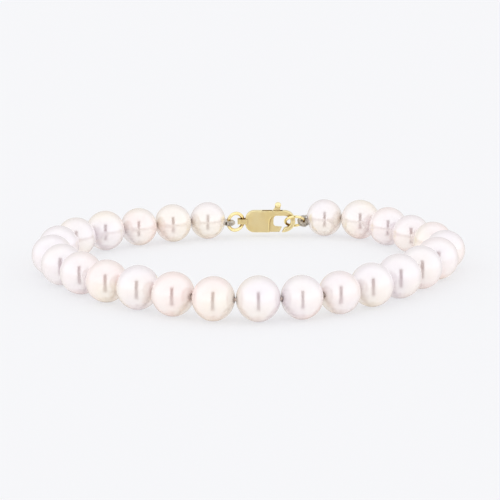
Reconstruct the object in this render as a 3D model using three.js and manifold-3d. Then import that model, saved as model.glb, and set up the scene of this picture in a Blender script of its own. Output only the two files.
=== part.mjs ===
// Pearl bracelet, one closed loop lying flat: 26 drilled freshwater pearls on a knotted silk thread,
// with French-wire loops, two rings and a gold lobster clasp whose thumb lever turns on a pin.
// Frame: millimetres, +Z up, origin on the surface at the middle of the loop, clasp towards +Y.

import * as THREE from 'three';
import { mergeVertices } from 'three/addons/utils/BufferGeometryUtils.js';
import Module from 'manifold-3d';

const wasm = await Module();
wasm.setup();

// ---- driving dimensions ----

// Pearls, in order along the thread from the clasp's tail ring round to its end link.
const PEARL_WIDTHS = [
  6.7, 6.8, 6.7, 6.95, 6.85, 6.85, 6.85, 6.8, 6.85, 6.75, 6.9, 6.85, 6.8,
  7.0, 6.75, 6.65, 6.9, 7.1, 7.05, 7.05, 6.75, 6.7, 6.65, 6.85, 7.1, 6.75,
];
const PEARL_LENGTH_SHARE = 0.96; // length along the drill hole, as a share of the width
const PEARL_GAP = 0.13; // between two neighbours, where the knot sits
const PEARL_SIDES = 16;
const PEARL_BANDS = 8; // even, so that one ring of corners lies at the widest place
const DRILL_RADIUS = 0.55;
const END_PEARL_DIP = 5; // degrees that the first and last pearl nod towards the clasp

// Plan of the loop through the pearls' centres, clasp's tail side first.
const LOOP_PLAN = [
  { x: -7.7, y: 26.2 },
  { x: -19.6, y: 21.2 },
  { x: -29.8, y: 13.2 },
  { x: -32.9, y: -0.2 },
  { x: -27.0, y: -12.2 },
  { x: -17.3, y: -21.4 },
  { x: -5.9, y: -27.7 },
  { x: 7.5, y: -27.0 },
  { x: 19.1, y: -19.6 },
  { x: 27.9, y: -8.4 },
  { x: 32.9, y: 4.4 },
  { x: 27.9, y: 16.2 },
  { x: 19.8, y: 26.3 },
  { x: 13.6, y: 28.4 },
  { x: 9.0, y: 28.4 },
];

const THREAD_RADIUS = 0.11;
const THREAD_SIDES = 5;
const KNOT_RADIUS = 0.24;
const KNOT_SIDES = 5;

// Clasp: x along it towards the hook, z up, y through its thickness with the front at -y.
const CLASP_CENTRE = new THREE.Vector3(3.7, 28.0, 2.8);
const CLASP_HALF_HEIGHT = 2.0;
const CLASP_THICKNESS = 1.4;
const CLASP_EDGE = 0.2; // rounding of the clasp's edges
const PLATE_LEFT = -4.55;
const PLATE_RIGHT = -0.14;
const PLATE_CORNER = 1.65;
const HOOK_RIGHT = 4.57;
const MOUTH_TOP = 1.1; // underside of the hook's top arm
const MOUTH_RIGHT = 3.76; // inner side of the hook's bend
const MOUTH_BOTTOM = -1.2; // upper side of the hook's tip
const SLOT_WIDTH = 0.9;

const PIVOT = { x: -1.2, z: 0.3 };
const PIN_RADIUS = 0.3;
const PIN_BORE_RADIUS = 0.42;
const LEVER_THICKNESS = 0.66;
const HUB_RADIUS = 0.78;
const KNOB = { x: 1.4, z: 2.98, radius: 0.58 };

const EYE_LENGTH = 1.45; // tail eye, from its outer end to the plate
const EYE_HALF_WIDTH = 0.86;
const EYE_HEIGHT = 0.9;
const EYE_HOLE_LENGTH = 0.93;
const EYE_HOLE_HALF_WIDTH = 0.5;

const TAIL_RING = { radius: 1.56, wire: 0.31, turn: 30, drop: -0.05 };
const END_LINK = { radius: 1.7, wire: 0.25, tilt: -41, turn: 3, x: 4.46, drop: 0.0 };
const GIMP_RADIUS = 0.4;
const GIMP_CLEARANCE = 0.05;
const GIMP_HALF_SWEEP = 118; // degrees each way from the loop's far side

const degrees = (angle) => THREE.MathUtils.degToRad(angle);

// ---- solids ----

function toSolid(geometry) {
  const bare = geometry.clone();
  bare.deleteAttribute('normal');
  bare.deleteAttribute('uv');
  const welded = mergeVertices(bare, 1e-4);
  return new wasm.Manifold(new wasm.Mesh({
    numProp: 3,
    vertProperties: new Float32Array(welded.attributes.position.array),
    triVerts: new Uint32Array(welded.index.array),
  }));
}

function toGeometry(solid) {
  const mesh = solid.getMesh();
  const geometry = new THREE.BufferGeometry();
  geometry.setAttribute('position', new THREE.BufferAttribute(new Float32Array(mesh.vertProperties), 3));
  geometry.setIndex(new THREE.BufferAttribute(new Uint32Array(mesh.triVerts), 1));
  geometry.computeVertexNormals();
  return geometry;
}

function polygonShape(sides, radius) {
  const corners = [];
  for (let i = 0; i < sides; i++) {
    const angle = (2 * Math.PI * i) / sides;
    corners.push(new THREE.Vector2(radius * Math.cos(angle), radius * Math.sin(angle)));
  }
  return new THREE.Shape(corners);
}

// The same outline as plain corners, with none of them doubled where two curves meet.
function cornersOnly(shape) {
  const corners = shape.getPoints(4);
  const apart = (corner, i) => corner.distanceTo(corners[(i + 1) % corners.length]) > 1e-3;
  return new THREE.Shape(corners.filter(apart));
}

// An outline in x and z, extruded through y and centred on y = 0.
function extrudeThrough(shape, thickness, edge = 0) {
  const geometry = new THREE.ExtrudeGeometry(cornersOnly(shape), {
    depth: thickness - 2 * edge,
    bevelEnabled: edge > 0,
    bevelThickness: edge,
    bevelSize: edge,
    bevelOffset: -edge,
    bevelSegments: 2,
  });
  geometry.translate(0, 0, edge - thickness / 2);
  geometry.rotateX(Math.PI / 2);
  return geometry;
}

// ---- materials ----

const pearlNacre = () => new THREE.MeshStandardMaterial({ color: 0xf3ebe6, roughness: 0.22, metalness: 0 });
const silk = () => new THREE.MeshStandardMaterial({ color: 0xe9ddd2, roughness: 0.85, metalness: 0 });
const yellowGold = () => new THREE.MeshStandardMaterial({ color: 0xe3c46c, roughness: 0.15, metalness: 1 });
const frenchWire = () => new THREE.MeshStandardMaterial({ color: 0xb5a891, roughness: 0.4, metalness: 1 });

function namedMesh(name, geometry, material) {
  const mesh = new THREE.Mesh(geometry, material);
  mesh.name = name;
  return mesh;
}

// ---- pearls ----

function pearlLength(width) {
  return width * PEARL_LENGTH_SHARE;
}

// A near-round body of revolution about its drill hole, which runs along the local y axis.
function pearlGeometry(width) {
  const mouth = Math.asin(DRILL_RADIUS / (width / 2));
  const profile = [];
  for (let i = 0; i <= PEARL_BANDS; i++) {
    const angle = -Math.PI / 2 + mouth + ((Math.PI - 2 * mouth) * i) / PEARL_BANDS;
    const across = (width / 2) * Math.cos(angle);
    const along = (pearlLength(width) / 2) * Math.sin(angle);
    profile.push(new THREE.Vector2(across, along));
  }
  profile.push(profile[0].clone());
  return new THREE.LatheGeometry(profile, PEARL_SIDES);
}

// Steps along the plan so that neighbouring pearls nearly touch.
function pearlPlaces() {
  const route = new THREE.CatmullRomCurve3(LOOP_PLAN.map((p) => new THREE.Vector3(p.x, p.y, 0)));
  const samples = route.getSpacedPoints(20000);
  const places = [samples[0]];
  for (const sample of samples) {
    const placed = places.length;
    if (placed === PEARL_WIDTHS.length) break;
    const apart = (pearlLength(PEARL_WIDTHS[placed - 1]) + pearlLength(PEARL_WIDTHS[placed])) / 2 + PEARL_GAP;
    if (sample.distanceTo(places[placed - 1]) >= apart) places.push(sample);
  }
  return places;
}

function ringEnd(centre, ring, side) {
  const turn = degrees(ring.turn);
  return centre.clone().add(new THREE.Vector3(Math.cos(turn), Math.sin(turn), 0).multiplyScalar(side * ring.radius));
}

// Each pearl's centre and the direction of its drill hole, level except at the two ends.
function pearlPoses() {
  const places = pearlPlaces();
  const last = places.length - 1;
  const before = ringEnd(tailRingCentre(), TAIL_RING, -1);
  const after = ringEnd(endLinkCentre(), END_LINK, 1);
  return places.map((place, i) => {
    const previous = i === 0 ? before : places[i - 1];
    const next = i === last ? after : places[i + 1];
    const direction = next.clone().sub(previous).setZ(0).normalize();
    const dip = degrees(END_PEARL_DIP);
    if (i === 0) direction.multiplyScalar(Math.cos(dip)).setZ(Math.sin(dip));
    if (i === last) direction.multiplyScalar(Math.cos(dip)).setZ(-Math.sin(dip));
    return { centre: place.clone(), direction, width: PEARL_WIDTHS[i] };
  });
}

function turnToDrill(direction) {
  const side = direction.clone().cross(new THREE.Vector3(0, 0, 1)).normalize();
  const up = side.clone().cross(direction);
  return new THREE.Matrix4().makeBasis(side, direction, up);
}

// Rests each pearl on the surface z = 0 and keeps that height in its pose.
function pearlMeshes(poses) {
  return poses.map((pose, i) => {
    const mesh = namedMesh(`pearl_${String(i + 1).padStart(2, '0')}`, pearlGeometry(pose.width), pearlNacre());
    mesh.geometry.applyMatrix4(turnToDrill(pose.direction));
    mesh.geometry.computeBoundingBox();
    pose.centre.z = -mesh.geometry.boundingBox.min.z;
    mesh.position.copy(pose.centre);
    return mesh;
  });
}

function drillMouth(pose, side) {
  const reach = (side * pearlLength(pose.width)) / 2;
  return pose.centre.clone().addScaledVector(pose.direction, reach);
}

// The thread runs through every drill hole and has a knot between each pair of pearls.
function threadMesh(poses) {
  const points = poses.flatMap((pose) => [drillMouth(pose, -0.96), pose.centre, drillMouth(pose, 0.96)]);
  const route = new THREE.CatmullRomCurve3(points, false, 'centripetal');
  const thread = toSolid(new THREE.ExtrudeGeometry(polygonShape(THREAD_SIDES, THREAD_RADIUS), {
    steps: 3 * poses.length,
    bevelEnabled: false,
    extrudePath: route,
  }));
  const knots = poses.slice(1).map((pose, i) => {
    const middle = drillMouth(poses[i], 1).add(drillMouth(pose, -1)).multiplyScalar(0.5);
    const knot = new THREE.SphereGeometry(KNOT_RADIUS, KNOT_SIDES, 3);
    return toSolid(knot.translate(middle.x, middle.y, middle.z));
  });
  const solid = knots.reduce((whole, knot) => whole.add(knot), thread);
  return namedMesh('silk_thread', toGeometry(solid), silk());
}

// ---- rings and French-wire loops ----

class LoopArc extends THREE.Curve {
  constructor(radius, middle, halfSweep) {
    super();
    this.radius = radius;
    this.middle = middle;
    this.halfSweep = halfSweep;
  }

  getPoint(t, target = new THREE.Vector3()) {
    const angle = this.middle + this.halfSweep * (2 * t - 1);
    return target.set(this.radius * Math.cos(angle), 0, this.radius * Math.sin(angle));
  }
}

// A loop of covered wire round a ring's own wire, open on the pearl's side.
function gimpMesh(name, ring, side, facing) {
  const radius = ring.wire + GIMP_RADIUS + GIMP_CLEARANCE;
  const middle = (side > 0 ? Math.PI : 0) + degrees(facing);
  const geometry = new THREE.ExtrudeGeometry(polygonShape(8, GIMP_RADIUS), {
    steps: 14,
    bevelEnabled: false,
    extrudePath: new LoopArc(radius, middle, degrees(GIMP_HALF_SWEEP)),
  });
  geometry.translate(side * ring.radius, 0, 0);
  return namedMesh(name, geometry, frenchWire());
}

function ringMesh(name, ring) {
  return namedMesh(name, new THREE.TorusGeometry(ring.radius, ring.wire, 8, 28), yellowGold());
}

function tailRingCentre() {
  const turn = degrees(TAIL_RING.turn);
  const holeMiddle = PLATE_LEFT - EYE_HOLE_LENGTH / 2 + 0.04;
  return CLASP_CENTRE.clone().add(new THREE.Vector3(
    holeMiddle - TAIL_RING.radius * Math.cos(turn),
    -TAIL_RING.radius * Math.sin(turn),
    -TAIL_RING.drop,
  ));
}

// The tail ring stands upright in the eye, turned so that its free side comes forward.
function tailRingGroup() {
  const group = new THREE.Group();
  group.rotation.order = 'ZYX';
  group.rotation.set(Math.PI / 2, 0, degrees(TAIL_RING.turn));
  group.position.copy(tailRingCentre());
  group.add(ringMesh('tail_ring', TAIL_RING));
  group.add(gimpMesh('gimp_left', TAIL_RING, -1, TAIL_RING.turn - 8));
  return group;
}

function endLinkCentre() {
  return CLASP_CENTRE.clone().add(new THREE.Vector3(END_LINK.x, 0, -END_LINK.drop));
}

// The end link leans back, its front arm passing over the hook and its rear arm behind it.
function endLinkGroup() {
  const group = new THREE.Group();
  group.rotation.order = 'ZYX';
  group.rotation.set(degrees(END_LINK.tilt), 0, degrees(END_LINK.turn));
  group.position.copy(endLinkCentre());
  group.add(ringMesh('end_link', END_LINK));
  group.add(gimpMesh('gimp_right', END_LINK, 1, 0));
  return group;
}

// ---- clasp ----

// Plate and hook in one outline, with the mouth between the plate and the hook's tip.
function claspOutline() {
  const top = CLASP_HALF_HEIGHT;
  const shape = new THREE.Shape();
  shape.moveTo(PLATE_LEFT + PLATE_CORNER, -top);
  shape.lineTo(PLATE_RIGHT, -top);
  shape.lineTo(PLATE_RIGHT, MOUTH_TOP - 1.24);
  shape.absarc(PLATE_RIGHT + 1.24, MOUTH_TOP - 1.24, 1.24, Math.PI, Math.PI / 2, true);
  const mouthMiddle = (MOUTH_TOP + MOUTH_BOTTOM) / 2;
  const mouthHalf = (MOUTH_TOP - MOUTH_BOTTOM) / 2;
  shape.absellipse(2.6, mouthMiddle, MOUTH_RIGHT - 2.6, mouthHalf, Math.PI / 2, -Math.PI / 2, true);
  shape.absellipse(2.18, 0, HOOK_RIGHT - 2.18, top, -Math.PI / 2, 0, false);
  shape.absellipse(2.6, 0, HOOK_RIGHT - 2.6, top, 0, Math.PI / 2, false);
  shape.lineTo(PLATE_LEFT + PLATE_CORNER, top);
  shape.absarc(PLATE_LEFT + PLATE_CORNER, top - PLATE_CORNER, PLATE_CORNER, Math.PI / 2, Math.PI, false);
  shape.lineTo(PLATE_LEFT, PLATE_CORNER - top);
  shape.absarc(PLATE_LEFT + PLATE_CORNER, PLATE_CORNER - top, PLATE_CORNER, Math.PI, 1.5 * Math.PI, false);
  return shape;
}

// The slot between the front and back plates, open above for the knob and below for the gate.
function slotOutline() {
  return new THREE.Shape([
    new THREE.Vector2(-2.15, -0.5),
    new THREE.Vector2(-0.7, -2.5),
    new THREE.Vector2(2.05, -2.5),
    new THREE.Vector2(2.25, 2.5),
    new THREE.Vector2(-1.1, 2.5),
    new THREE.Vector2(-2.15, 1.0),
  ]);
}

// Tail eye: its hole runs up and down, and a small upright bar ends it.
function tailEye() {
  const left = PLATE_LEFT - EYE_LENGTH;
  const shape = new THREE.Shape();
  shape.moveTo(PLATE_LEFT + 0.4, -EYE_HALF_WIDTH);
  shape.lineTo(PLATE_LEFT + 0.4, EYE_HALF_WIDTH);
  shape.lineTo(left + 0.5, EYE_HALF_WIDTH);
  shape.quadraticCurveTo(left, EYE_HALF_WIDTH, left, 0);
  shape.quadraticCurveTo(left, -EYE_HALF_WIDTH, left + 0.5, -EYE_HALF_WIDTH);
  const hole = new THREE.Path();
  hole.moveTo(PLATE_LEFT - EYE_HOLE_LENGTH, -EYE_HOLE_HALF_WIDTH);
  hole.lineTo(PLATE_LEFT, -EYE_HOLE_HALF_WIDTH);
  hole.lineTo(PLATE_LEFT, EYE_HOLE_HALF_WIDTH);
  hole.lineTo(PLATE_LEFT - EYE_HOLE_LENGTH, EYE_HOLE_HALF_WIDTH);
  shape.holes.push(hole);
  const eye = new THREE.ExtrudeGeometry(shape, { depth: EYE_HEIGHT, bevelEnabled: false, curveSegments: 6 });
  eye.translate(0, 0, -EYE_HEIGHT / 2);
  const wall = EYE_LENGTH - EYE_HOLE_LENGTH;
  const bar = new THREE.CylinderGeometry(wall / 2 - 0.02, wall / 2 - 0.02, 1.15, 10);
  bar.rotateX(Math.PI / 2);
  bar.translate(left + wall / 2, 0, 0);
  return toSolid(eye).add(toSolid(bar));
}

function upright(radius, thickness, sides) {
  const cylinder = new THREE.CylinderGeometry(radius, radius, thickness, sides);
  return toSolid(cylinder.translate(PIVOT.x, 0, PIVOT.z));
}

function claspBody() {
  const casting = toSolid(extrudeThrough(claspOutline(), CLASP_THICKNESS, CLASP_EDGE));
  const slot = toSolid(extrudeThrough(slotOutline(), SLOT_WIDTH));
  const pin = upright(PIN_RADIUS, SLOT_WIDTH + 0.2, 12);
  const solid = casting.subtract(slot).add(pin).add(tailEye());
  const mesh = namedMesh('clasp_body', toGeometry(solid), yellowGold());
  mesh.position.copy(CLASP_CENTRE);
  return mesh;
}

// Gate, hub and thumb arm in one outline; the gate meets the hook's tip on a slant.
function leverOutline() {
  const shape = new THREE.Shape();
  shape.moveTo(-0.45, -1.95);
  shape.lineTo(1.68, -1.95);
  shape.lineTo(2.12, -1.04);
  shape.lineTo(1.15, -0.98);
  shape.quadraticCurveTo(0.59, -0.95, 0.59, -0.35);
  shape.lineTo(0.59, 0.35);
  shape.quadraticCurveTo(0.62, 1.0, 1.15, 1.12);
  shape.lineTo(1.85, 1.9);
  shape.lineTo(1.85, 2.15);
  shape.lineTo(KNOB.x + 0.38, KNOB.z);
  shape.lineTo(KNOB.x - 0.38, KNOB.z);
  shape.lineTo(0.62, 2.15);
  shape.lineTo(PIVOT.x + 0.3, PIVOT.z + HUB_RADIUS);
  shape.lineTo(PIVOT.x, PIVOT.z + HUB_RADIUS);
  shape.absarc(PIVOT.x, PIVOT.z, HUB_RADIUS, Math.PI / 2, 1.35 * Math.PI, false);
  return shape;
}

function claspLever() {
  const plate = toSolid(extrudeThrough(leverOutline(), LEVER_THICKNESS));
  const bore = upright(PIN_BORE_RADIUS, 2 * LEVER_THICKNESS, 16);
  const ball = new THREE.SphereGeometry(KNOB.radius, 12, 8).translate(KNOB.x, 0, KNOB.z);
  const solid = plate.subtract(bore).add(toSolid(ball));
  const mesh = namedMesh('clasp_lever', toGeometry(solid), yellowGold());
  mesh.position.copy(CLASP_CENTRE);
  return mesh;
}

// ---- assembly ----

const poses = pearlPoses();
const bracelet = new THREE.Group();
bracelet.add(...pearlMeshes(poses));
bracelet.add(threadMesh(poses));
bracelet.add(tailRingGroup());
bracelet.add(endLinkGroup());
bracelet.add(claspBody());
bracelet.add(claspLever());

export default bracelet;
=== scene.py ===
# Looks of the pearl bracelet: nacre pearls, knotted silk, French wire and a polished gold lobster clasp.
# Metres throughout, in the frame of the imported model: +Z up, the clasp towards +Y.

import math

import bmesh
import bpy
from mathutils import Matrix, Vector, noise


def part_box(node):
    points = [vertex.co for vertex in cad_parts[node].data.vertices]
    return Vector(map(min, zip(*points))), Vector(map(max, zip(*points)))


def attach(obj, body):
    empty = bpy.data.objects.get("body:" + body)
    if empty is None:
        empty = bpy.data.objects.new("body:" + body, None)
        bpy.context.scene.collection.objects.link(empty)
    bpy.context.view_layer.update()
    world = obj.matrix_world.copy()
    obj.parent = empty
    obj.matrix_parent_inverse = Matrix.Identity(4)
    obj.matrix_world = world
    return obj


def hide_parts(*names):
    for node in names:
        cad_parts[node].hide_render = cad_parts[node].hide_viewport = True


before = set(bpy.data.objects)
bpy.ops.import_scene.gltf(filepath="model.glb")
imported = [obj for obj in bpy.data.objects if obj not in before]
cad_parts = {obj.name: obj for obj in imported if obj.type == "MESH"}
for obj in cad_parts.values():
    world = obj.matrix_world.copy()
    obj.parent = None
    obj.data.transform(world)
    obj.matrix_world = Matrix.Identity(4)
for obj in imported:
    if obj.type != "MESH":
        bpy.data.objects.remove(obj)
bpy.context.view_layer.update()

MM = 0.001
STRAND = "strand"
LEVER = "lever"
PEARL_COUNT = 26

# ---- view and stage ----

CAMERA_ELEVATION = math.radians(13.67)
CAMERA_DISTANCE = 294.8 * MM
CAMERA_AIM = Vector((0.0, 17.15 * MM, 0.0))
CAMERA_LENS = 119.9  # on a sensor 36 wide
FLOOR_HALF = 3.0

# ---- pearls ----

PEARL_LENGTH_SHARE = 0.96
MOUTH_RADIUS = 0.42 * MM
BORE_RADIUS = 0.34 * MM
COUNTERSINK = 0.10 * MM
SWELLING = 0.022 * MM
GROWTH_RIPPLE = 0.007 * MM
END_DIP = math.radians(5)

# ---- silk and French wire ----

SILK_RADIUS = 0.15 * MM
KNOT_RADIUS = 0.30 * MM
GIMP_RADIUS = 0.46 * MM
GIMP_WIRE = 0.08 * MM
GIMP_CLEARANCE = 0.05 * MM
GIMP_HALF_SWEEP = math.radians(112)
GIMP_PITCH = 0.165 * MM
GIMP_SPREAD = 0.28 * MM

# ---- clasp ----

# reach of the painted shade that browns the gold in its crevices and gaps
PAINTED_SHADE_REACH = 0.8 * MM
CLASP_CENTRE = Vector((3.7, 28.0, 2.8)) * MM
TAIL_RING = {"radius": 1.56 * MM, "wire": 0.31 * MM}
END_LINK = {"radius": 1.70 * MM, "wire": 0.25 * MM}
TAIL_TURN = math.radians(30)
LINK_TILT = math.radians(-41)
LINK_TURN = math.radians(3)
KNOB_PLACE = Vector((1.4, 0.0, 2.98)) * MM
KNOB_FOOT = Vector((1.12, 0.0, 2.04)) * MM
KNOB_RADIUS = 0.58 * MM
STUB_TOP = CLASP_CENTRE.z + 2.62 * MM  # inside the knob's ball


# ---- camera, light and floor ----


def make_camera():
    data = bpy.data.cameras.new("camera")
    data.lens = CAMERA_LENS
    data.sensor_width = 36
    data.clip_start = 0.01
    data.clip_end = 20
    camera = bpy.data.objects.new("camera", data)
    bpy.context.scene.collection.objects.link(camera)
    back = Vector((0, -math.cos(CAMERA_ELEVATION), math.sin(CAMERA_ELEVATION)))
    camera.location = CAMERA_AIM + back * CAMERA_DISTANCE
    camera.rotation_euler = (math.pi / 2 - CAMERA_ELEVATION, 0, 0)
    bpy.context.scene.camera = camera


def link_nodes(tree, pairs):
    for source, target in pairs:
        tree.links.new(source, target)


def map_range(tree, value, low, high, to_low=0.0, to_high=1.0):
    node = tree.nodes.new("ShaderNodeMapRange")
    node.interpolation_type = "SMOOTHSTEP"
    node.inputs["From Min"].default_value = low
    node.inputs["From Max"].default_value = high
    node.inputs["To Min"].default_value = to_low
    node.inputs["To Max"].default_value = to_high
    tree.links.new(value, node.inputs["Value"])
    return node.outputs["Result"]


def math_node(tree, operation, first, second=None):
    node = tree.nodes.new("ShaderNodeMath")
    node.operation = operation
    tree.links.new(first, node.inputs[0])
    if isinstance(second, float):
        node.inputs[1].default_value = second
    elif second is not None:
        tree.links.new(second, node.inputs[1])
    return node.outputs["Value"]


def mix_colour(tree, factor, first, second):
    node = tree.nodes.new("ShaderNodeMix")
    node.data_type = "RGBA"
    tree.links.new(factor, node.inputs["Factor"])
    for value, name in ((first, "A"), (second, "B")):
        socket = next(s for s in node.inputs if s.name == name and s.type == "RGBA")
        if isinstance(value, tuple):
            socket.default_value = (*value, 1.0)
        else:
            tree.links.new(value, socket)
    return next(s for s in node.outputs if s.type == "RGBA")


def make_light_tent():
    """A bright tent all round with one narrow dark opening on the viewing side."""
    world = bpy.data.worlds.new("light_tent")
    bpy.context.scene.world = world
    world.use_nodes = True
    tree = world.node_tree
    tree.nodes.clear()
    place = tree.nodes.new("ShaderNodeTexCoord").outputs["Generated"]
    parts = tree.nodes.new("ShaderNodeSeparateXYZ")
    tree.links.new(place, parts.inputs[0])
    x, y, z = (parts.outputs[i] for i in range(3))
    sideways = math_node(tree, "ABSOLUTE", x)
    beside = map_range(tree, sideways, 0.10, 0.19)
    behind = map_range(tree, y, -0.45, -0.15)
    above = map_range(tree, z, 0.68, 0.80)
    clear = math_node(tree, "MAXIMUM", math_node(tree, "MAXIMUM", beside, behind), above)
    overhead = map_range(tree, z, 0.2, 0.95)
    fabric = mix_colour(tree, overhead, (1.0, 1.0, 1.02), (0.90, 0.91, 0.93))
    backdrop = map_range(tree, y, 0.0, 1.0)
    wall = mix_colour(tree, backdrop, fabric, (0.60, 0.59, 0.58))
    colour = mix_colour(tree, clear, (0.12, 0.025, 0.015), wall)
    background = tree.nodes.new("ShaderNodeBackground")
    background.inputs["Strength"].default_value = TENT_STRENGTH
    output = tree.nodes.new("ShaderNodeOutputWorld")
    link_nodes(tree, [
        (colour, background.inputs["Color"]),
        (background.outputs[0], output.inputs["Surface"]),
    ])


TENT_STRENGTH = 1.22
FLOOR_COLOUR = (0.36, 0.362, 0.367)
FLOOR_GLOW = (0.56, 0.56, 0.57)


def make_floor():
    bm = bmesh.new()
    bmesh.ops.create_grid(bm, x_segments=1, y_segments=1, size=FLOOR_HALF)
    mesh = bpy.data.meshes.new("floor")
    bm.to_mesh(mesh)
    bm.free()
    floor = bpy.data.objects.new("floor", mesh)
    bpy.context.scene.collection.objects.link(floor)
    material = bpy.data.materials.new("white_acrylic")
    material.use_nodes = True
    tree = material.node_tree
    tree.nodes.clear()
    matt = tree.nodes.new("ShaderNodeBsdfDiffuse")
    matt.inputs["Color"].default_value = (*FLOOR_COLOUR, 1)
    glow = tree.nodes.new("ShaderNodeEmission")
    glow.inputs["Color"].default_value = (*FLOOR_GLOW, 1)
    lit = tree.nodes.new("ShaderNodeAddShader")
    shine = tree.nodes.new("ShaderNodeBsdfGlossy")
    shine.inputs["Color"].default_value = (0.98, 0.95, 0.91, 1)
    shine.inputs["Roughness"].default_value = 0.2
    path = tree.nodes.new("ShaderNodeLightPath")
    share = math_node(tree, "MULTIPLY", path.outputs["Is Glossy Ray"], 0.85)
    mix = tree.nodes.new("ShaderNodeMixShader")
    output = tree.nodes.new("ShaderNodeOutputMaterial")
    link_nodes(tree, [
        (matt.outputs[0], lit.inputs[0]),
        (glow.outputs[0], lit.inputs[1]),
        (share, mix.inputs[0]),
        (lit.outputs[0], mix.inputs[1]),
        (shine.outputs[0], mix.inputs[2]),
        (mix.outputs[0], output.inputs["Surface"]),
    ])
    mesh.materials.append(material)


# ---- materials ----


def noise_output(tree, place, scale, detail=3.0, roughness=0.5):
    node = tree.nodes.new("ShaderNodeTexNoise")
    node.inputs["Scale"].default_value = scale
    node.inputs["Detail"].default_value = detail
    node.inputs["Roughness"].default_value = roughness
    tree.links.new(place, node.inputs["Vector"])
    return node.outputs["Fac"]


def fine_wear_group():
    """Tiny handling marks: a roughness that wanders and a height for bump."""
    group = bpy.data.node_groups.new("fine_wear", "ShaderNodeTree")
    for name, value in (("Scale", 900.0), ("Smooth", 0.1), ("Worn", 0.25)):
        socket = group.interface.new_socket(name, in_out="INPUT", socket_type="NodeSocketFloat")
        socket.default_value = value
    for name in ("Roughness", "Height"):
        group.interface.new_socket(name, in_out="OUTPUT", socket_type="NodeSocketFloat")
    given = group.nodes.new("NodeGroupInput")
    made = group.nodes.new("NodeGroupOutput")
    place = group.nodes.new("ShaderNodeTexCoord").outputs["Object"]
    broad = group.nodes.new("ShaderNodeTexNoise")
    fine = group.nodes.new("ShaderNodeTexNoise")
    fine.inputs["Detail"].default_value = 5.0
    finer_scale = math_node(group, "MULTIPLY", given.outputs["Scale"], 5.0)
    spread = group.nodes.new("ShaderNodeMapRange")
    spread.inputs["From Min"].default_value = 0.35
    spread.inputs["From Max"].default_value = 0.7
    link_nodes(group, [
        (place, broad.inputs["Vector"]),
        (place, fine.inputs["Vector"]),
        (given.outputs["Scale"], broad.inputs["Scale"]),
        (finer_scale, fine.inputs["Scale"]),
        (broad.outputs["Fac"], spread.inputs["Value"]),
        (given.outputs["Smooth"], spread.inputs["To Min"]),
        (given.outputs["Worn"], spread.inputs["To Max"]),
        (spread.outputs["Result"], made.inputs["Roughness"]),
        (fine.outputs["Fac"], made.inputs["Height"]),
    ])
    return group


def new_material(name):
    material = bpy.data.materials.new(name)
    material.use_nodes = True
    tree = material.node_tree
    return material, tree, tree.nodes["Principled BSDF"]


def add_bump(tree, shader, height, distance, strength):
    bump = tree.nodes.new("ShaderNodeBump")
    bump.inputs["Strength"].default_value = strength
    bump.inputs["Distance"].default_value = distance
    link_nodes(tree, [(height, bump.inputs["Height"]), (bump.outputs["Normal"], shader.inputs["Normal"])])


def add_wear(tree, shader, wear, scale, smooth, worn, distance, strength):
    node = tree.nodes.new("ShaderNodeGroup")
    node.node_tree = wear
    node.inputs["Scale"].default_value = scale
    node.inputs["Smooth"].default_value = smooth
    node.inputs["Worn"].default_value = worn
    tree.links.new(node.outputs["Roughness"], shader.inputs["Roughness"])
    add_bump(tree, shader, node.outputs["Height"], distance, strength)


def nacre(wear):
    """White body with rose, cream and mauve overtones that drift from pearl to pearl."""
    material, tree, shader = new_material("nacre")
    place = tree.nodes.new("ShaderNodeTexCoord").outputs["Object"]
    drift = map_range(tree, noise_output(tree, place, 120.0, 1.0), 0.36, 0.64)
    other = map_range(tree, noise_output(tree, place, 75.0, 1.0), 0.40, 0.62)
    cloud = map_range(tree, noise_output(tree, place, 420.0, 4.0, 0.6), 0.3, 0.75, 0.0, 0.4)
    warm = mix_colour(tree, drift, (0.97, 0.76, 0.71), (0.95, 0.83, 0.68))
    tone = mix_colour(tree, other, warm, (0.89, 0.80, 0.84))
    colour = mix_colour(tree, cloud, tone, (0.97, 0.94, 0.88))
    tree.links.new(colour, shader.inputs["Base Color"])
    shader.inputs["IOR"].default_value = 4.4
    shader.inputs["Coat Weight"].default_value = 0.8
    shader.inputs["Coat Roughness"].default_value = 0.04
    shader.inputs["Coat IOR"].default_value = 1.7
    add_wear(tree, shader, wear, 700.0, 0.14, 0.22, 0.00001, 0.06)
    return material


def gold(name, wear, smooth, worn):
    """Pale yellow gold with painted shade: its colour turns brown in crevices and gaps, where ambient occlusion
    finds nearby surfaces.
    """
    material, tree, shader = new_material(name)
    place = tree.nodes.new("ShaderNodeTexCoord").outputs["Object"]
    shade = map_range(tree, noise_output(tree, place, 500.0), 0.3, 0.7)
    polished = mix_colour(tree, shade, (0.96, 0.82, 0.41), (0.99, 0.88, 0.50))
    # painted shade: ambient occlusion darkens the gold's base colour to brown in crevices and between parts
    painted_shade_ao = tree.nodes.new("ShaderNodeAmbientOcclusion")
    painted_shade_ao.samples = 8
    painted_shade_ao.inputs["Distance"].default_value = PAINTED_SHADE_REACH
    unshaded_share = map_range(tree, painted_shade_ao.outputs["AO"], 0.4, 0.9)
    colour = mix_colour(tree, unshaded_share, (0.40, 0.24, 0.08), polished)
    tree.links.new(colour, shader.inputs["Base Color"])
    shader.inputs["Metallic"].default_value = 1.0
    add_wear(tree, shader, wear, 1400.0, smooth, worn, 0.00001, 0.02)
    return material


def french_wire(wear):
    material, tree, shader = new_material("french_wire")
    place = tree.nodes.new("ShaderNodeTexCoord").outputs["Object"]
    shade = map_range(tree, noise_output(tree, place, 2500.0), 0.3, 0.7)
    colour = mix_colour(tree, shade, (0.52, 0.48, 0.41), (0.78, 0.73, 0.65))
    tree.links.new(colour, shader.inputs["Base Color"])
    shader.inputs["Metallic"].default_value = 0.9
    add_wear(tree, shader, wear, 2500.0, 0.3, 0.5, 0.00001, 0.2)
    return material


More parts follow.
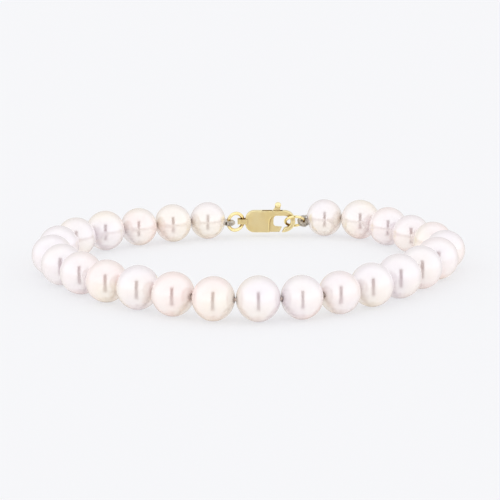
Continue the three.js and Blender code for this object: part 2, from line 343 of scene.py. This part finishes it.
def silk(wear):
    material, tree, shader = new_material("knotted_silk")
    place = tree.nodes.new("ShaderNodeTexCoord").outputs["Object"]
    twist = noise_output(tree, place, 6000.0, 2.0)
    colour = mix_colour(tree, twist, (0.80, 0.62, 0.54), (0.94, 0.84, 0.74))
    tree.links.new(colour, shader.inputs["Base Color"])
    shader.inputs["Sheen Weight"].default_value = 0.3
    add_wear(tree, shader, wear, 5000.0, 0.6, 0.9, 0.00003, 0.5)
    return material


# ---- pieces ----


def add_piece(name, bm, material, body, nodes):
    mesh = bpy.data.meshes.new(name)
    for face in bm.faces:
        face.smooth = True
    bm.to_mesh(mesh)
    bm.free()
    mesh.materials.append(material)
    piece = bpy.data.objects.new(name, mesh)
    bpy.context.scene.collection.objects.link(piece)
    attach(piece, body)
    if nodes:
        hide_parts(*nodes)
    return piece


def box_of(node):
    low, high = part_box(node)
    return Vector(low), Vector(high)


def pearl_name(i):
    return f"pearl_{i + 1:02d}"


def ring_side(centre, radius, turn, side):
    return centre + Vector((math.cos(turn), math.sin(turn), 0)) * (side * radius)


def pearl_poses():
    """Centre, drill direction and width of every pearl, read from the boxes of its node."""
    boxes = [box_of(pearl_name(i)) for i in range(PEARL_COUNT)]
    centres = [(low + high) / 2 for low, high in boxes]
    tail_low, tail_high = box_of("tail_ring")
    link_low, link_high = box_of("end_link")
    start = ring_side((tail_low + tail_high) / 2, TAIL_RING["radius"], TAIL_TURN, -1)
    end = ring_side((link_low + link_high) / 2, END_LINK["radius"], LINK_TURN, 1)
    poses = []
    for i, centre in enumerate(centres):
        before = centres[i - 1] if i > 0 else start
        after = centres[i + 1] if i < PEARL_COUNT - 1 else end
        along = after - before
        along.z = 0
        along.normalize()
        if i == 0:
            along = along * math.cos(END_DIP) + Vector((0, 0, math.sin(END_DIP)))
        if i == PEARL_COUNT - 1:
            along = along * math.cos(END_DIP) - Vector((0, 0, math.sin(END_DIP)))
        width = boxes[i][1].z - boxes[i][0].z
        poses.append({"centre": centre, "along": along, "width": width})
    return poses


def pearl_mesh(pose, seed):
    """A near-round pearl with a countersunk drill hole, faint swellings and growth ripples."""
    half_width = pose["width"] / 2
    half_length = half_width * PEARL_LENGTH_SHARE
    bm = bmesh.new()
    bmesh.ops.create_uvsphere(bm, u_segments=56, v_segments=52, radius=1.0)
    bmesh.ops.scale(bm, vec=(half_width, half_width, half_length), verts=bm.verts)
    for vert in bm.verts:
        outward = vert.co.normalized()
        swelling = noise.noise(outward * 1.3 + Vector((seed * 7.1, seed * 3.7, 1.9)))
        near_end = max(0.0, abs(outward.z) - 0.62) / 0.38
        ripple = math.sin(abs(vert.co.z) / (0.12 * MM)) * near_end
        vert.co += outward * (SWELLING * swelling + GROWTH_RIPPLE * ripple)
    mouth = half_length * math.sqrt(1 - (MOUTH_RADIUS / half_width) ** 2)
    for side in (-1, 1):
        everything = bm.verts[:] + bm.edges[:] + bm.faces[:]
        bmesh.ops.bisect_plane(
            bm, geom=everything, plane_co=(0, 0, side * mouth), plane_no=(0, 0, side), clear_outer=True
        )
        rim = [e for e in bm.edges if e.is_boundary and e.verts[0].co.z * side > 0]
        made = bmesh.ops.extrude_edge_only(bm, edges=rim)["geom"]
        inner = [v for v in made if isinstance(v, bmesh.types.BMVert)]
        shrink = BORE_RADIUS / MOUTH_RADIUS
        bmesh.ops.scale(bm, vec=(shrink, shrink, 1), verts=inner)
        bmesh.ops.translate(bm, vec=(0, 0, -side * COUNTERSINK), verts=inner)
    bmesh.ops.bridge_loops(bm, edges=[e for e in bm.edges if e.is_boundary])
    bmesh.ops.recalc_face_normals(bm, faces=bm.faces)
    turn = pose["along"].to_track_quat("Z", "Y").to_matrix().to_4x4()
    bmesh.ops.transform(bm, matrix=Matrix.Translation(pose["centre"]) @ turn, verts=bm.verts)
    lowest = min(vert.co.z for vert in bm.verts)
    bmesh.ops.translate(bm, vec=(0, 0, -lowest), verts=bm.verts)
    return bm


def make_pearls(poses, material):
    for i, pose in enumerate(poses):
        node = pearl_name(i)
        add_piece(f"{node}_nacre", pearl_mesh(pose, i + 1), material, STRAND, [node])


def mouth_of(pose, side):
    return pose["centre"] + pose["along"] * (side * pose["width"] / 2 * PEARL_LENGTH_SHARE)


def add_strand(bm, start, end, radius):
    """A short round length of thread between two points."""
    middle = (start + end) / 2
    span = end - start
    turn = span.to_track_quat("Z", "Y").to_matrix().to_4x4()
    bmesh.ops.create_cone(
        bm,
        cap_ends=True,
        segments=10,
        radius1=radius,
        radius2=radius,
        depth=span.length,
        matrix=Matrix.Translation(middle) @ turn,
    )


def add_knot(bm, place, along, radius):
    """An overhand knot: a small core with two crossed wraps."""
    turn = along.to_track_quat("Z", "Y").to_matrix().to_4x4()
    at_knot = Matrix.Translation(place) @ turn
    squat = Matrix.Diagonal((1, 1, 0.62, 1))
    bmesh.ops.create_uvsphere(bm, u_segments=12, v_segments=8, radius=radius * 0.86, matrix=at_knot @ squat)
    for lean in (0.45, -0.45):
        wrap = ring_geometry(radius * 0.74, radius * 0.27, 14, 8)
        bmesh.ops.transform(wrap, matrix=at_knot @ Matrix.Rotation(lean, 4, "X"), verts=wrap.verts)
        join(bm, wrap)


def join(bm, other):
    mesh = bpy.data.meshes.new("joined")
    other.to_mesh(mesh)
    other.free()
    bm.from_mesh(mesh)
    bpy.data.meshes.remove(mesh)


def ring_geometry(radius, wire, steps, sides):
    """A round wire ring lying in the local XY plane."""
    bm = bmesh.new()
    section = bmesh.ops.create_circle(
        bm,
        segments=sides,
        radius=wire,
        matrix=Matrix.Translation((radius, 0, 0)) @ Matrix.Rotation(math.pi / 2, 4, "X"),
    )["verts"]
    edges = list({e for v in section for e in v.link_edges})
    bmesh.ops.spin(
        bm, geom=section + edges, cent=(0, 0, 0), axis=(0, 0, 1), angle=2 * math.pi, steps=steps, use_merge=True
    )
    bmesh.ops.remove_doubles(bm, verts=bm.verts, dist=wire * 0.01)
    bmesh.ops.recalc_face_normals(bm, faces=bm.faces)
    return bm


def make_thread(poses, material):
    bm = bmesh.new()
    for before, after in zip(poses, poses[1:]):
        start = mouth_of(before, 1)
        end = mouth_of(after, -1)
        inside = 0.5 * MM
        add_strand(bm, start - before["along"] * inside, end + after["along"] * inside, SILK_RADIUS)
        add_knot(bm, (start + end) / 2, (end - start).normalized(), KNOT_RADIUS)
    add_piece("silk_and_knots", bm, material, STRAND, ["silk_thread"])


def tail_ring_matrix():
    low, high = box_of("tail_ring")
    return Matrix.Translation((low + high) / 2) @ Matrix.Rotation(TAIL_TURN, 4, "Z") @ Matrix.Rotation(math.pi / 2, 4, "X")


def end_link_matrix():
    low, high = box_of("end_link")
    return Matrix.Translation((low + high) / 2) @ Matrix.Rotation(LINK_TURN, 4, "Z") @ Matrix.Rotation(LINK_TILT, 4, "X")


def make_rings(material):
    for name, ring, matrix in (
        ("tail_ring", TAIL_RING, tail_ring_matrix()),
        ("end_link", END_LINK, end_link_matrix()),
    ):
        bm = ring_geometry(ring["radius"], ring["wire"], 72, 20)
        bmesh.ops.transform(bm, matrix=matrix, verts=bm.verts)
        add_piece(f"{name}_wire", bm, material, STRAND, [name])


def gimp_route(ring, side, facing, matrix, mouth):
    """Points from the pearl's drill hole, round the ring's wire and back to the hole."""
    radius = ring["wire"] + GIMP_RADIUS + GIMP_CLEARANCE
    middle = (math.pi if side > 0 else 0) + facing
    loop = []
    for i in range(33):
        angle = middle + GIMP_HALF_SWEEP * (i / 16 - 1)
        place = Vector((side * ring["radius"] + radius * math.cos(angle), 0, radius * math.sin(angle)))
        loop.append(matrix @ place)
    spread = (loop[0] - loop[-1]).normalized() * GIMP_SPREAD
    return [mouth + spread, *loop, mouth - spread]


def along_route(route, pitch):
    """Places and directions at an even pitch along a broken line."""
    found = []
    left_over = 0.0
    for start, end in zip(route, route[1:]):
        span = end - start
        reach = left_over
        while reach < span.length:
            found.append((start + span.normalized() * reach, span.normalized()))
            reach += pitch
        left_over = reach - span.length
    return found


def gimp_geometry(route):
    """Fine wire coiled turn beside turn along the route."""
    bm = bmesh.new()
    for place, direction in along_route(route, GIMP_PITCH):
        coil = ring_geometry(GIMP_RADIUS - GIMP_WIRE, GIMP_WIRE, 20, 8)
        turn = direction.to_track_quat("Z", "Y").to_matrix().to_4x4()
        bmesh.ops.transform(coil, matrix=Matrix.Translation(place) @ turn, verts=coil.verts)
        join(bm, coil)
    return bm


def make_gimps(poses, material):
    for name, ring, matrix, side, facing, mouth in (
        ("gimp_left", TAIL_RING, tail_ring_matrix(), -1, math.radians(22), mouth_of(poses[0], -1)),
        ("gimp_right", END_LINK, end_link_matrix(), 1, 0.0, mouth_of(poses[-1], 1)),
    ):
        bm = gimp_geometry(gimp_route(ring, side, facing, matrix, mouth))
        add_piece(f"{name}_coils", bm, material, STRAND, [name])


def cut_off_above(bm, height):
    """Takes away what stands above a level and closes the cut."""
    everything = bm.verts[:] + bm.edges[:] + bm.faces[:]
    bmesh.ops.bisect_plane(bm, geom=everything, plane_co=(0, 0, height), plane_no=(0, 0, 1), clear_outer=True)
    bmesh.ops.holes_fill(bm, edges=[e for e in bm.edges if e.is_boundary])
    bmesh.ops.remove_doubles(bm, verts=bm.verts, dist=0.015 * MM)


def copy_of_node(node, top=None):
    """The node's shape as one welded mesh whose flat stretches are whole faces."""
    bm = bmesh.new()
    bm.from_mesh(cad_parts[node].data)
    bmesh.ops.remove_doubles(bm, verts=bm.verts, dist=0.0005 * MM)
    if top is not None:
        cut_off_above(bm, top)
    bmesh.ops.dissolve_limit(
        bm, angle_limit=math.radians(1), use_dissolve_boundaries=False, verts=bm.verts, edges=bm.edges
    )
    return bm


def soften(piece, width):
    bevel = piece.modifiers.new("soft_edges", "BEVEL")
    bevel.width = width
    bevel.segments = 2
    bevel.limit_method = "ANGLE"
    bevel.angle_limit = math.radians(32)
    flatten = piece.modifiers.new("flat_faces", "WEIGHTED_NORMAL")
    flatten.keep_sharp = True


def make_clasp(material):
    body = add_piece("clasp_casting", copy_of_node("clasp_body"), material, STRAND, ["clasp_body"])
    soften(body, 0.05 * MM)
    lever = add_piece("lever_plate", copy_of_node("clasp_lever", STUB_TOP), material, LEVER, ["clasp_lever"])
    soften(lever, 0.05 * MM)


def make_knob(material):
    """The thumb knob: a ball on a short shank sunk in the lever's stub, turned about its own leaning axis."""
    axis = KNOB_PLACE - KNOB_FOOT
    reach = axis.length
    profile = [(0.0, 0.0), (0.26 * MM, 0.0), (0.26 * MM, 0.12 * MM), (0.29 * MM, 0.38 * MM)]
    for step in range(9):
        angle = math.radians(-50 + step * 140 / 8)
        across = KNOB_RADIUS * math.cos(angle) if step < 8 else 0.0
        profile.append((across, reach + KNOB_RADIUS * math.sin(angle)))
    bm = bmesh.new()
    verts = [bm.verts.new((across, 0, height)) for across, height in profile]
    edges = [bm.edges.new(pair) for pair in zip(verts, verts[1:])]
    bmesh.ops.spin(
        bm, geom=verts + edges, cent=(0, 0, 0), axis=(0, 0, 1), angle=2 * math.pi, steps=32, use_merge=True
    )
    bmesh.ops.remove_doubles(bm, verts=bm.verts, dist=0.001 * MM)
    bmesh.ops.recalc_face_normals(bm, faces=bm.faces)
    turn = axis.to_track_quat("Z", "Y").to_matrix().to_4x4()
    matrix = Matrix.Translation(CLASP_CENTRE + KNOB_FOOT) @ turn
    bmesh.ops.transform(bm, matrix=matrix, verts=bm.verts)
    knob = add_piece("lever_knob", bm, material, LEVER, [])
    smooth = knob.modifiers.new("smooth_turning", "SUBSURF")
    smooth.levels = 1
    smooth.render_levels = 1


# ---- assembly ----

make_camera()
make_light_tent()
make_floor()
bpy.context.scene.view_settings.view_transform = "Standard"

WEAR = fine_wear_group()
NACRE = nacre(WEAR)
CLASP_GOLD = gold("brushed_gold", WEAR, 0.36, 0.44)
RING_GOLD = gold("polished_gold", WEAR, 0.12, 0.2)
FRENCH_WIRE = french_wire(WEAR)
SILK = silk(WEAR)

POSES = pearl_poses()
make_pearls(POSES, NACRE)
make_thread(POSES, SILK)
make_rings(RING_GOLD)
make_gimps(POSES, FRENCH_WIRE)
make_clasp(CLASP_GOLD)
make_knob(CLASP_GOLD)
